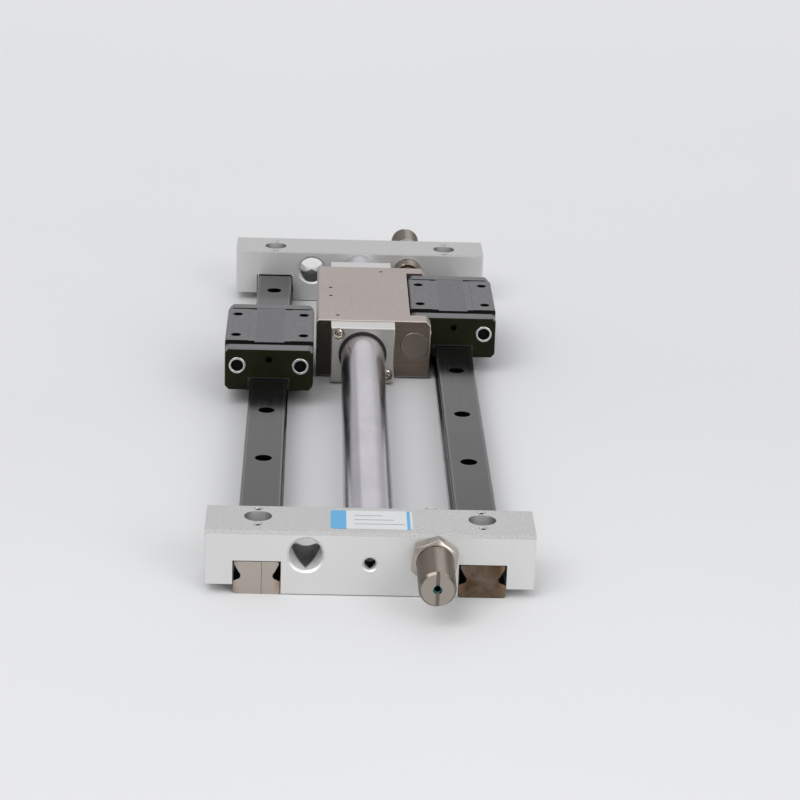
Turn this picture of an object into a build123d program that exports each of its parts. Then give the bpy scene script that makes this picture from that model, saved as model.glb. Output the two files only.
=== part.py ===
"""A magnetically coupled rodless pneumatic cylinder with two rail guides, in millimetres.

X points right, Y away from the front end and Z up. The origin is on the floor under the middle.
A sealed tube joins two end plates. Magnets on a piston inside the tube pull a carriage along
outside it. Each rail carries a guide block, and the right one sits in a notch of the carriage.
"""

import os

from build123d import *

os.makedirs("parts", exist_ok=True)

# Overall
overall_height = 24.0
floor_gap = 0.8

# End plates
plate_gap = 294.0
plate_thickness = 22.0
plate_width = 106.0
plate_height = 21.8
plate_lift = 0.3
ear_width = 9.0
ear_lift = 3.3
plate_top_chamfer = 1.2
plate_edge_chamfer = 0.4
base_bolt_inset = 9.0
base_bolt_radius = 2.75
base_bolt_head_radius = 4.5
base_bolt_head_depth = 6.0
clamp_screw_spacing = 13.4
clamp_screw_radius = 1.45
clamp_screw_length = 10.1
clamp_socket_width = 1.5
clamp_socket_depth = 1.4
port_height = 11.0
port_radius = 2.1
port_mouth_radius = 2.6
port_depth = 8.0
port_passage_radius = 1.6
nose_length = 8.0
nose_groove_width = 1.7
nose_groove_depth = 0.95

# Tube
tube_height = 12.6
tube_radius = 8.5
tube_wall = 0.5

# Stops: a shock absorber on the right of each plate and a spare hole on the left
stop_offset = 20.6
stop_height = 13.8
spare_hole_radius = 5.5
spare_hole_mouth_radius = 6.2
absorber_radius = 6.0
absorber_wall = 1.8
absorber_outer_reach = 26.0
absorber_inner_reach = 6.0
absorber_chamfer = 0.8
absorber_end_thickness = 10.0
absorber_slot_width = 1.2
absorber_slot_depth = 1.0
absorber_plug_radius = 1.4
absorber_plug_length = 3.0
absorber_bush_length = 4.0
absorber_bush_inset = 0.6
nut_width = 14.0
nut_length = 5.0
nut_turn = 22.0
rod_radius = 1.5
rod_reach = 15.0
rod_length = 18.0
rod_cap_radius = 3.0
rod_cap_length = 3.0
rod_cap_chamfer = 0.5
rod_head_length = 3.0

# Guide rails
rail_spacing = 72.5
rail_width = 15.0
rail_height = 11.2
rail_foot_height = 4.4
rail_foot_chamfer = 0.6
rail_waist_width = 10.2
rail_waist_height = 6.3
rail_waist_half_height = 1.1
rail_head_width = 14.2
rail_head_height = 1.0
rail_head_chamfer = 0.35
rail_end_recess = 0.25
rail_hole_count = 6
rail_hole_pitch = 50.0
rail_hole_radius = 1.75
rail_hole_head_radius = 3.0
rail_hole_head_depth = 4.5

# Carriage
lug_length = 7.75
carriage_left = 18.2
carriage_right = 26.8
carriage_right_chamfer = 1.8
carriage_left_chamfer = 0.8
carriage_end_chamfer = 0.3
stack_radius = 10.28
striker_radius = 5.6
striker_length = 6.0
striker_chamfer = 0.3
pin_hole_radius = 0.8
pin_hole_depth = 1.6
pin_hole_places = [(-9.9, -30.3), (-12.7, -4.2), (-12.7, 6.8), (8.2, 30.3)]

# Carriage covers
cover_width = 25.0
cover_lift = 1.0
cover_rise = 11.0
cover_length = 8.5
cover_chamfer = 0.4
scraper_width = 1.5
scraper_thickness = 0.82
cover_screw_x = 9.6
cover_screw_z = 8.2
cover_screw_radius = 1.25
cover_screw_length = 12.0
cover_screw_head_radius = 2.25
cover_screw_head_length = 2.2
cover_screw_head_depth = 2.5
cover_screw_socket_width = 2.0
cover_screw_socket_depth = 1.2

# Magnet stacks
magnet_count = 4
magnet_length = 7.0
yoke_length = 5.0
outer_magnet_wall = 1.48
inner_stack_radius = 7.6
shaft_radius = 2.5
shaft_tip = 0.5
piston_radius = 7.85
piston_length = 8.0
piston_groove_width = 2.0
piston_seal_thickness = 1.3
piston_nut_width = 8.0
piston_nut_length = 3.5

# Guide blocks
block_width = 34.0
block_length = 39.5
block_lift = 6.5
block_edge_chamfer = 0.5
block_slot_width = 15.5
block_slot_gap = 0.6
tongue_width = 17.0
tongue_reach = 1.5
band_width = 16.4
band_depth = 0.15
table_hole_spacing = 26.0
table_hole_radius = 1.8
table_hole_depth = 7.0
cap_length = 8.5
cap_width = 33.4
cap_lift = 6.8
cap_drop = 0.6
cap_step_drop = 1.1
cap_step_length = 3.2
cap_corner_chamfer = 1.5
cap_rim_chamfer = 0.4
cap_slot_width = 16.2
cap_slot_gap = 0.8
cap_screw_spacing = 24.0
cap_screw_height = 16.6
cap_screw_radius = 1.2
cap_screw_reach = 4.0
cap_screw_head_radius = 3.25
cap_screw_head_length = 2.0
cap_screw_head_proud = 0.2
cap_screw_socket_radius = 2.3
cap_screw_socket_depth = 1.2
nipple_hole_height = 19.0
nipple_hole_radius = 1.2
nipple_hole_depth = 3.0
rail_seal_width = 1.2
rail_seal_gap = 0.25
ball_radius = 1.2
ball_count = 4
ball_pitch = 8.0
ball_offset = 7.25
ball_height = 7.9

# Where the moving pieces rest
rear_stop_distance = 12.75
left_block_lag = 44.75

# Clearances
notch_side_gap = 0.25
notch_top_gap = 0.3
nose_gap = 0.05
seal_gap = 0.02
tube_end_gap = 0.05
thread_gap = 0.03
press_gap = 0.02
running_gap = 0.05
cover_bore_gap = 0.3
scraper_gap = 0.06
screw_gap = 0.05
head_gap = 0.2
block_gap = 0.5
tongue_gap = 0.05
ball_gap = 0.05
hole_end_gap = 0.25
slot_fit_gap = 0.05

# Worked out from the sizes above
plate_inner = plate_gap / 2
plate_outer = plate_inner + plate_thickness
rail_x = rail_spacing / 2
notch_width = rail_width + 2 * notch_side_gap
notch_height = rail_height + notch_top_gap
base_bolt_y = plate_inner + base_bolt_inset
tube_axis = (0, tube_height)
stop_axis = (stop_offset, stop_height)
tube_inner_radius = tube_radius - tube_wall
nose_radius = tube_inner_radius - nose_gap
nose_groove_radius = nose_radius - nose_groove_depth
notch_x = rail_x - block_width / 2 - block_gap
notch_length = block_length + 2 * cap_length + 2 * block_gap
carriage_length = notch_length + 2 * lug_length
rod_tip = plate_inner - rod_reach
carriage_y = rod_tip - rear_stop_distance - carriage_length / 2
left_block_y = carriage_y - left_block_lag
stack_pitch = magnet_length + yoke_length
stack_length = magnet_count * stack_pitch + yoke_length
wear_ring_length = (carriage_length - stack_length) / 2
yoke_places = [(i - magnet_count / 2) * stack_pitch for i in range(magnet_count + 1)]
magnet_places = [(i + 0.5 - magnet_count / 2) * stack_pitch for i in range(magnet_count)]
cover_height = tube_height + cover_rise - cover_lift
cover_screw_places = [
    (-cover_screw_x, tube_height + cover_screw_z),
    (cover_screw_x, tube_height - cover_screw_z),
]
cap_height = overall_height - cap_drop - cap_lift
cap_step_height = cap_lift + cap_height - cap_step_drop
tongue_thickness = overall_height - cap_step_height - tongue_gap
ends = {"front": -1, "rear": 1}


def cross_plane(y):
    """The upright plane across the cylinder at this Y: local X is right and local Y is up."""
    return Plane.XZ.offset(-y)


def outward(side, x, distance, z):
    """A place on a face that looks along Y, from which a hole is drilled towards the middle."""
    return Plane(origin=(x, side * distance, z), x_dir=(1, 0, 0), z_dir=(0, side, 0)).location


def write(piece, name):
    """Label a finished piece and write its file."""
    piece.part.label = name
    export_step(piece.part, f"parts/{name}.step")


# End plates: machined bars with a notch over each rail and a nose that plugs the tube
def end_plate(side):
    with BuildPart() as plate:
        with BuildSketch(cross_plane(side * plate_inner)):
            with Locations((0, (plate_height + plate_lift) / 2)):
                Rectangle(plate_width, plate_height - plate_lift)
            with Locations(*[(s * (plate_width - ear_width) / 2, ear_lift / 2) for s in (-1, 1)]):
                Rectangle(ear_width, ear_lift, mode=Mode.SUBTRACT)
            with Locations(*[(s * rail_x, notch_height / 2) for s in (-1, 1)]):
                Rectangle(notch_width, notch_height, mode=Mode.SUBTRACT)
        extrude(amount=-side * plate_thickness)
        long_edges = plate.edges().filter_by(Axis.X).group_by(Axis.Z)[-1].sort_by(Axis.Y)
        outer_edge, inner_edge = (long_edges[-1], long_edges[0]) if side > 0 else long_edges
        chamfer(outer_edge, plate_top_chamfer)
        chamfer(inner_edge, plate_edge_chamfer)
        corners = plate.edges().filter_by(Axis.Z).sort_by(Axis.X)
        chamfer(corners[:2] + corners[-2:], plate_edge_chamfer)

        with BuildSketch(cross_plane(side * plate_inner)):
            with Locations(tube_axis):
                Circle(nose_radius)
        extrude(amount=side * nose_length)
        with BuildSketch(cross_plane(side * (plate_inner - nose_length / 2))):
            with Locations(tube_axis):
                Circle(tube_radius)
                Circle(nose_groove_radius, mode=Mode.SUBTRACT)
        extrude(amount=nose_groove_width / 2, both=True, mode=Mode.SUBTRACT)

        with Locations(*[(s * rail_x, side * base_bolt_y, plate_height) for s in (-1, 1)]):
            CounterBoreHole(base_bolt_radius, base_bolt_head_radius, base_bolt_head_depth)
            with GridLocations(0, clamp_screw_spacing, 1, 2):
                Hole(clamp_screw_radius + screw_gap, depth=plate_height)
        with Locations(outward(side, stop_offset, plate_outer, stop_height)):
            Hole(absorber_radius + thread_gap, depth=plate_thickness)
        with Locations(
            outward(side, -stop_offset, plate_outer, stop_height),
            Plane(origin=(-stop_offset, side * plate_inner, stop_height), z_dir=(0, -side, 0)).location,
        ):
            CounterSinkHole(spare_hole_radius, spare_hole_mouth_radius, depth=plate_thickness)
        with Locations(outward(side, 0, plate_outer, port_height)):
            CounterSinkHole(port_radius, port_mouth_radius, depth=port_depth)
            Hole(port_passage_radius, depth=plate_thickness + nose_length)
    return plate


for end, side in ends.items():
    write(end_plate(side), f"{end}_plate")

# Tube: thin, so that the magnets reach through it
with BuildPart() as cylinder_tube:
    with BuildSketch(Plane.XZ):
        with Locations(tube_axis):
            Circle(tube_radius)
            Circle(tube_inner_radius, mode=Mode.SUBTRACT)
    extrude(amount=plate_inner - tube_end_gap, both=True)
write(cylinder_tube, "cylinder_tube")

# Seal rings in the grooves of the two noses
with BuildPart() as tube_seals:
    with BuildSketch(*[cross_plane(s * (plate_inner - nose_length / 2)) for s in ends.values()]):
        with Locations(tube_axis):
            Circle(tube_inner_radius - seal_gap)
            Circle(nose_groove_radius + seal_gap, mode=Mode.SUBTRACT)
    extrude(amount=nose_groove_width / 2 - seal_gap, both=True)
write(tube_seals, "tube_seals")

# Section of a guide rail: a wide foot, a waist that the balls run in and a head
with BuildSketch() as rail_section:
    with BuildLine():
        foot = Polyline(
            (0, 0),
            (rail_width / 2 - rail_foot_chamfer, 0),
            (rail_width / 2, rail_foot_chamfer),
            (rail_width / 2, rail_foot_height),
            (rail_waist_width / 2 + rail_waist_half_height / 2, rail_waist_height - rail_waist_half_height),
        )
        waist = ThreePointArc(
            foot @ 1,
            (rail_waist_width / 2, rail_waist_height),
            (rail_waist_width / 2 + rail_waist_half_height / 2, rail_waist_height + rail_waist_half_height),
        )
        Polyline(
            waist @ 1,
            (rail_head_width / 2, rail_height - rail_head_height),
            (rail_head_width / 2, rail_height - rail_head_chamfer),
            (rail_head_width / 2 - rail_head_chamfer, rail_height),
            (0, rail_height),
        )
        mirror(about=Plane.YZ)
    make_face()

# The same section with room round it, cut from the seals that wipe the rail
with BuildSketch() as rail_clearance:
    add(rail_section.sketch)
    offset(amount=rail_seal_gap)


# Guide rails: clamped under the plates, with holes for the screws that hold them to a base
def guide_rail(x):
    with BuildPart() as rail:
        with BuildSketch(Plane.XZ):
            with Locations((x, 0)):
                add(rail_section.sketch)
        extrude(amount=plate_outer - rail_end_recess, both=True)
        with Locations((x, 0, rail_height)):
            with GridLocations(0, rail_hole_pitch, 1, rail_hole_count):
                CounterBoreHole(rail_hole_radius, rail_hole_head_radius, rail_hole_head_depth)
            with GridLocations(0, 2 * base_bolt_y, 1, 2):
                Hole(base_bolt_radius, depth=rail_height)
    return rail


write(guide_rail(-rail_x), "left_rail")
write(guide_rail(rail_x), "right_rail")

# Socket set screws that press each rail down inside its notch
with BuildPart() as clamp_screws:
    clamp_places = [
        (x, y + dy)
        for x in (-rail_x, rail_x)
        for y in (-base_bolt_y, base_bolt_y)
        for dy in (-clamp_screw_spacing / 2, clamp_screw_spacing / 2)
    ]
    with BuildSketch(Plane.XY.offset(rail_height)):
        with Locations(*clamp_places):
            Circle(clamp_screw_radius)
    extrude(amount=clamp_screw_length)
    with BuildSketch(Plane.XY.offset(rail_height + clamp_screw_length)):
        with Locations(*clamp_places):
            RegularPolygon(clamp_socket_width / 2, 6, major_radius=False)
    extrude(amount=-clamp_socket_depth, mode=Mode.SUBTRACT)
write(clamp_screws, "clamp_screws")


# Shock absorbers: a threaded barrel, its nut, a guide bush, an oil plug and the sprung rod
def absorber_barrel(side):
    inner = side * (plate_inner - absorber_inner_reach)
    outer = side * (plate_outer + absorber_outer_reach)
    cavity_end = outer - side * absorber_end_thickness
    cavity_radius = absorber_radius - absorber_wall
    with BuildPart() as barrel:
        with BuildSketch(Plane.XY.offset(stop_height)):
            with BuildLine():
                Polyline(
                    (stop_offset, outer),
                    (stop_offset + absorber_radius - absorber_chamfer, outer),
                    (stop_offset + absorber_radius, outer - side * absorber_chamfer),
                    (stop_offset + absorber_radius, inner + side * absorber_chamfer),
                    (stop_offset + absorber_radius - absorber_chamfer, inner),
                    (stop_offset + cavity_radius, inner),
                    (stop_offset + cavity_radius, cavity_end),
                    (stop_offset, cavity_end),
                    close=True,
                )
            make_face()
        revolve(axis=Axis((stop_offset, 0, stop_height), (0, 1, 0)))
        with BuildSketch(cross_plane(outer)):
            with Locations(stop_axis):
                Rectangle(absorber_slot_width, 2 * absorber_radius)
        extrude(amount=side * absorber_slot_depth, mode=Mode.SUBTRACT)
        with BuildSketch(cross_plane(outer)):
            with Locations(stop_axis):
                Circle(absorber_plug_radius)
        extrude(amount=side * (absorber_slot_depth + absorber_plug_length), mode=Mode.SUBTRACT)
    return barrel


def absorber_nut(side):
    with BuildPart() as nut:
        with BuildSketch(cross_plane(side * plate_outer)):
            with Locations(stop_axis):
                RegularPolygon(nut_width / 2, 6, major_radius=False, rotation=nut_turn)
                Circle(absorber_radius + thread_gap, mode=Mode.SUBTRACT)
        extrude(amount=-side * nut_length)
    return nut


def absorber_rod(side):
    tip = side * rod_tip
    cap_end = tip + side * rod_cap_length
    shank_end = tip + side * rod_length
    head_end = shank_end + side * rod_head_length
    head_radius = absorber_radius - absorber_wall - running_gap
    with BuildPart() as rod:
        with BuildSketch(Plane.XY.offset(stop_height)):
            with BuildLine():
                Polyline(
                    (stop_offset, tip),
                    (stop_offset + rod_cap_radius - rod_cap_chamfer, tip),
                    (stop_offset + rod_cap_radius, tip + side * rod_cap_chamfer),
                    (stop_offset + rod_cap_radius, cap_end),
                    (stop_offset + rod_radius, cap_end),
                    (stop_offset + rod_radius, shank_end),
                    (stop_offset + head_radius, shank_end),
                    (stop_offset + head_radius, head_end),
                    (stop_offset, head_end),
                    close=True,
                )
            make_face()
        revolve(axis=Axis((stop_offset, 0, stop_height), (0, 1, 0)))
    return rod


for end, side in ends.items():
    write(absorber_barrel(side), f"{end}_absorber_barrel")
    write(absorber_nut(side), f"{end}_absorber_nut")
    write(absorber_rod(side), f"{end}_absorber_rod")

with BuildPart() as absorber_bushes:
    for side in ends.values():
        bush_start = side * (plate_inner - absorber_inner_reach + absorber_bush_inset)
        with BuildSketch(cross_plane(bush_start)):
            with Locations(stop_axis):
                Circle(absorber_radius - absorber_wall - press_gap)
                Circle(rod_radius + running_gap, mode=Mode.SUBTRACT)
        extrude(amount=-side * absorber_bush_length)
write(absorber_bushes, "absorber_bushes")

with BuildPart() as oil_plugs:
    for side in ends.values():
        plug_end = side * (plate_outer + absorber_outer_reach - absorber_slot_depth)
        with BuildSketch(cross_plane(plug_end)):
            with Locations(stop_axis):
                Circle(absorber_plug_radius - press_gap)
        extrude(amount=side * absorber_plug_length)
write(oil_plugs, "oil_plugs")

# Carriage: a block bored for the magnets, with a notch that drives the right guide block
with BuildPart() as carriage_body:
    body_width = carriage_left + carriage_right
    body_height = overall_height - floor_gap
    body_middle = ((carriage_right - carriage_left) / 2, floor_gap + body_height / 2)
    with BuildSketch(cross_plane(carriage_y)):
        with Locations(body_middle):
            Rectangle(body_width, body_height)
    extrude(amount=carriage_length / 2, both=True)
    top_edges = carriage_body.edges().filter_by(Axis.Y).group_by(Axis.Z)[-1].sort_by(Axis.X)
    chamfer(top_edges[-1], carriage_right_chamfer)
    chamfer(top_edges[0], carriage_left_chamfer)
    with BuildSketch(cross_plane(carriage_y)):
        with Locations((notch_x + carriage_right / 2, overall_height / 2)):
            Rectangle(carriage_right, overall_height)
    extrude(amount=notch_length / 2, both=True, mode=Mode.SUBTRACT)
    end_faces = carriage_body.faces().sort_by(Axis.Y)
    chamfer(end_faces[0].edges() + end_faces[-1].edges(), carriage_end_chamfer)
    with BuildSketch(cross_plane(carriage_y)):
        with Locations(tube_axis):
            Circle(stack_radius + press_gap)
    extrude(amount=carriage_length / 2, both=True, mode=Mode.SUBTRACT)
    for side in ends.values():
        face = carriage_y + side * carriage_length / 2
        with BuildSketch(cross_plane(face)):
            with Locations(stop_axis):
                Circle(striker_radius + press_gap)
        extrude(amount=side * striker_length, mode=Mode.SUBTRACT)
        screw_depth = cover_screw_length - (cover_length - cover_screw_head_depth) + hole_end_gap
        with BuildSketch(cross_plane(face)):
            with Locations(*cover_screw_places):
                Circle(cover_screw_radius + screw_gap)
        extrude(amount=side * screw_depth, mode=Mode.SUBTRACT)
    with Locations(*[(x, carriage_y + y, overall_height) for x, y in pin_hole_places]):
        Hole(pin_hole_radius, depth=pin_hole_depth)
write(carriage_body, "carriage_body")

# Hard pins in the carriage that meet the shock absorbers
with BuildPart() as striker_pins:
    for side in ends.values():
        with BuildSketch(cross_plane(carriage_y + side * carriage_length / 2)):
            with Locations(stop_axis):
                Circle(striker_radius)
        extrude(amount=side * striker_length)
    pin_faces = striker_pins.faces().sort_by(Axis.Y)
    chamfer(pin_faces[0].edges() + pin_faces[-1].edges(), striker_chamfer)
write(striker_pins, "striker_pins")


# Covers: they close the bore of the carriage at each end and hold a scraper
def carriage_cover(side):
    inner = carriage_y + side * carriage_length / 2
    outer = inner + side * cover_length
    with BuildPart() as cover:
        with BuildSketch(cross_plane(inner)):
            with Locations((0, cover_lift + cover_height / 2)):
                Rectangle(cover_width, cover_height)
        extrude(amount=-side * cover_length)
        rims = cover.faces().sort_by(Axis.Y)
        chamfer((rims[-1] if side > 0 else rims[0]).edges(), cover_chamfer)
        with BuildSketch(cross_plane(outer)):
            with Locations(tube_axis):
                Circle(tube_radius + cover_bore_gap)
        extrude(amount=side * cover_length, mode=Mode.SUBTRACT)
        with BuildSketch(cross_plane(outer)):
            with Locations(tube_axis):
                Circle(tube_radius + scraper_gap + scraper_thickness + press_gap)
        extrude(amount=side * scraper_width, mode=Mode.SUBTRACT)
        with Locations(*[outward(side, x, side * outer, z) for x, z in cover_screw_places]):
            CounterBoreHole(
                cover_screw_radius + screw_gap,
                cover_screw_head_radius + head_gap,
                cover_screw_head_depth,
                depth=cover_length,
            )
    return cover


for end, side in ends.items():
    write(carriage_cover(side), f"{end}_cover")

with BuildPart() as tube_scrapers:
    for side in ends.values():
        with BuildSketch(cross_plane(carriage_y + side * (carriage_length / 2 + cover_length))):
            with Locations(tube_axis):
                Circle(tube_radius + scraper_gap + scraper_thickness)
                Circle(tube_radius + scraper_gap, mode=Mode.SUBTRACT)
        extrude(amount=side * scraper_width)
write(tube_scrapers, "tube_scrapers")

with BuildPart() as cover_screws:
    for side in ends.values():
        seat = carriage_y + side * (carriage_length / 2 + cover_length - cover_screw_head_depth)
        head_top = seat + side * cover_screw_head_length
        with BuildSketch(cross_plane(seat)):
            with Locations(*cover_screw_places):
                Circle(cover_screw_head_radius)
        extrude(amount=-side * cover_screw_head_length)
        with BuildSketch(cross_plane(seat)):
            with Locations(*cover_screw_places):
                Circle(cover_screw_radius)
        extrude(amount=side * cover_screw_length)
        with BuildSketch(cross_plane(head_top)):
            with Locations(*cover_screw_places):
                RegularPolygon(cover_screw_socket_width / 2, 6, major_radius=False)
        extrude(amount=side * cover_screw_socket_depth, mode=Mode.SUBTRACT)
write(cover_screws, "cover_screws")

# Outer magnet stack: rings in the bore of the carriage, between two wear rings
with BuildPart() as wear_rings:
    ring_middle = (stack_length + wear_ring_length) / 2
    with BuildSketch(*[cross_plane(carriage_y + s * ring_middle) for s in ends.values()]):
        with Locations(tube_axis):
            Circle(stack_radius)
            Circle(tube_radius + running_gap, mode=Mode.SUBTRACT)
    extrude(amount=wear_ring_length / 2, both=True)
write(wear_rings, "wear_rings")

with BuildPart() as outer_yokes:
    with BuildSketch(*[cross_plane(carriage_y + y) for y in yoke_places]):
        with Locations(tube_axis):
            Circle(stack_radius)
            Circle(stack_radius - outer_magnet_wall, mode=Mode.SUBTRACT)
    extrude(amount=yoke_length / 2, both=True)
write(outer_yokes, "outer_yokes")

with BuildPart() as outer_magnets:
    with BuildSketch(*[cross_plane(carriage_y + y) for y in magnet_places]):
        with Locations(tube_axis):
            Circle(stack_radius)
            Circle(stack_radius - outer_magnet_wall, mode=Mode.SUBTRACT)
    extrude(amount=magnet_length / 2, both=True)
write(outer_magnets, "outer_magnets")

# Piston: the inner magnet stack on a shaft, between two sealed piston heads and two nuts
with BuildPart() as piston_shaft:
    shaft_half = stack_length / 2 + piston_length + piston_nut_length + shaft_tip
    with BuildSketch(cross_plane(carriage_y)):
        with Locations(tube_axis):
            Circle(shaft_radius)
    extrude(amount=shaft_half, both=True)
write(piston_shaft, "piston_shaft")

with BuildPart() as inner_yokes:
    with BuildSketch(*[cross_plane(carriage_y + y) for y in yoke_places]):
        with Locations(tube_axis):
            Circle(inner_stack_radius)
            Circle(shaft_radius + press_gap, mode=Mode.SUBTRACT)
    extrude(amount=yoke_length / 2, both=True)
write(inner_yokes, "inner_yokes")

with BuildPart() as inner_magnets:
    with BuildSketch(*[cross_plane(carriage_y + y) for y in magnet_places]):
        with Locations(tube_axis):
            Circle(inner_stack_radius)
            Circle(shaft_radius + press_gap, mode=Mode.SUBTRACT)
    extrude(amount=magnet_length / 2, both=True)
write(inner_magnets, "inner_magnets")


def piston_head(side):
    middle = carriage_y + side * (stack_length + piston_length) / 2
    with BuildPart() as head:
        with BuildSketch(cross_plane(middle)):
            with Locations(tube_axis):
                Circle(piston_radius)
                Circle(shaft_radius + press_gap, mode=Mode.SUBTRACT)
        extrude(amount=piston_length / 2, both=True)
        with BuildSketch(cross_plane(middle)):
            with Locations(tube_axis):
                Circle(tube_radius)
                Circle(piston_radius - piston_seal_thickness, mode=Mode.SUBTRACT)
        extrude(amount=piston_groove_width / 2, both=True, mode=Mode.SUBTRACT)
    return head


for end, side in ends.items():
    write(piston_head(side), f"{end}_piston_head")

with BuildPart() as piston_seals:
    seal_middle = (stack_length + piston_length) / 2
    with BuildSketch(*[cross_plane(carriage_y + s * seal_middle) for s in ends.values()]):
        with Locations(tube_axis):
            Circle(tube_inner_radius - running_gap)
            Circle(piston_radius - piston_seal_thickness + seal_gap, mode=Mode.SUBTRACT)
    extrude(amount=piston_groove_width / 2 - seal_gap, both=True)
write(piston_seals, "piston_seals")

with BuildPart() as piston_nuts:
    nut_middle = stack_length / 2 + piston_length + piston_nut_length / 2
    with BuildSketch(*[cross_plane(carriage_y + s * nut_middle) for s in ends.values()]):
        with Locations(tube_axis):
            RegularPolygon(piston_nut_width / 2, 6, major_radius=False)
            Circle(shaft_radius + press_gap, mode=Mode.SUBTRACT)
    extrude(amount=piston_nut_length / 2, both=True)
write(piston_nuts, "piston_nuts")


# Guide blocks: a steel body with two ball tracks, and a plastic cap with a seal at each end
def block_body(x, y):
    slot_top = rail_height + block_slot_gap
    with BuildPart() as body:
        with BuildSketch(cross_plane(y)):
            with Locations((x, (block_lift + overall_height) / 2)):
                Rectangle(block_width, overall_height - block_lift)
            with Locations((x, slot_top / 2)):
                Rectangle(block_slot_width, slot_top, mode=Mode.SUBTRACT)
            with Locations((x - ball_offset, ball_height), (x + ball_offset, ball_height)):
                Circle(ball_radius + ball_gap, mode=Mode.SUBTRACT)
        extrude(amount=block_length / 2, both=True)
        chamfer(body.edges().filter_by(Axis.Y).group_by(Axis.Z)[-1], block_edge_chamfer)
        top = Plane.XY.offset(overall_height)
        tongue_length = block_length + 2 * tongue_reach
        with BuildSketch(top):
            with Locations((x, y)):
                Rectangle(tongue_width, tongue_length)
        extrude(amount=-tongue_thickness)
        with BuildSketch(top):
            with Locations((x, y)):
                Rectangle(band_width, tongue_length)
        extrude(amount=-band_depth, mode=Mode.SUBTRACT)
        with Locations((x, y, overall_height)):
            with GridLocations(table_hole_spacing, table_hole_spacing, 2, 2):
                Hole(table_hole_radius, depth=table_hole_depth)
        for side in ends.values():
            with BuildSketch(cross_plane(y + side * block_length / 2)):
                with Locations((x, cap_screw_height)):
                    with GridLocations(cap_screw_spacing, 0, 2, 1):
                        Circle(cap_screw_radius + screw_gap)
            extrude(amount=side * (cap_screw_reach + hole_end_gap), mode=Mode.SUBTRACT)
    return body


def block_cap(x, y, side):
    inner = y + side * block_length / 2
    outer = inner + side * cap_length
    slot_top = rail_height + cap_slot_gap
    with BuildPart() as cap:
        with BuildSketch(cross_plane(inner)):
            with Locations((x, cap_lift + cap_height / 2)):
                Rectangle(cap_width, cap_height)
        extrude(amount=-side * cap_length)
        chamfer(cap.edges().filter_by(Axis.Y), cap_corner_chamfer)
        cap_faces = cap.faces().sort_by(Axis.Y)
        chamfer((cap_faces[-1] if side > 0 else cap_faces[0]).edges(), cap_rim_chamfer)
        with BuildSketch(cross_plane(inner)):
            with Locations((x, cap_step_height + cap_step_drop / 2)):
                Rectangle(block_width, cap_step_drop)
        extrude(amount=-side * cap_step_length, mode=Mode.SUBTRACT)
        with BuildSketch(cross_plane(inner)):
            with Locations((x, slot_top / 2)):
                Rectangle(cap_slot_width, slot_top)
        extrude(amount=-side * cap_length, mode=Mode.SUBTRACT)
        head_depth = cap_screw_head_length - cap_screw_head_proud
        screw_x = cap_screw_spacing / 2
        with Locations(*[outward(side, x + s * screw_x, side * outer, cap_screw_height) for s in (-1, 1)]):
            CounterBoreHole(
                cap_screw_radius + screw_gap,
                cap_screw_head_radius + screw_gap,
                head_depth,
                depth=cap_length,
            )
        with Locations(outward(side, x, side * outer, nipple_hole_height)):
            Hole(nipple_hole_radius, depth=nipple_hole_depth)
    return cap


def cap_screws(x, y):
    with BuildPart() as screws:
        for side in ends.values():
            top = y + side * (block_length / 2 + cap_length + cap_screw_head_proud)
            seat = top - side * cap_screw_head_length
            tip = y + side * (block_length / 2 - cap_screw_reach)
            with BuildSketch(cross_plane(top)):
                with Locations((x, cap_screw_height)):
                    with GridLocations(cap_screw_spacing, 0, 2, 1):
                        Circle(cap_screw_head_radius)
            extrude(amount=side * cap_screw_head_length)
            with BuildSketch(cross_plane(top)):
                with Locations((x, cap_screw_height)):
                    with GridLocations(cap_screw_spacing, 0, 2, 1):
                        RegularPolygon(cap_screw_socket_radius, 6)
            extrude(amount=side * cap_screw_socket_depth, mode=Mode.SUBTRACT)
            with BuildSketch(cross_plane(seat)):
                with Locations((x, cap_screw_height)):
                    with GridLocations(cap_screw_spacing, 0, 2, 1):
                        Circle(cap_screw_radius)
            extrude(amount=seat - tip)
    return screws


def rail_seals(x, y):
    seal_width = cap_slot_width - 2 * slot_fit_gap
    seal_top = rail_height + cap_slot_gap - slot_fit_gap
    with BuildPart() as seals:
        for side in ends.values():
            with BuildSketch(cross_plane(y + side * (block_length / 2 + cap_length))):
                with Locations((x, (cap_lift + seal_top) / 2)):
                    Rectangle(seal_width, seal_top - cap_lift)
                with Locations((x, 0)):
                    add(rail_clearance.sketch, mode=Mode.SUBTRACT)
            extrude(amount=side * rail_seal_width)
    return seals


def bearing_balls(x, y):
    with BuildPart() as balls:
        with Locations((x, y, ball_height)):
            with GridLocations(2 * ball_offset, ball_pitch, 2, ball_count):
                Sphere(ball_radius)
    return balls


blocks = {"left": (-rail_x, left_block_y), "right": (rail_x, carriage_y)}
for hand, (x, y) in blocks.items():
    write(block_body(x, y), f"{hand}_block_body")
    for end, side in ends.items():
        write(block_cap(x, y, side), f"{hand}_block_{end}_cap")
    write(cap_screws(x, y), f"{hand}_cap_screws")
    write(rail_seals(x, y), f"{hand}_rail_seals")
    write(bearing_balls(x, y), f"{hand}_block_balls")
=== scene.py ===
import math

import bmesh
import bpy
import numpy as np
from mathutils import Matrix, Vector


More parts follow.
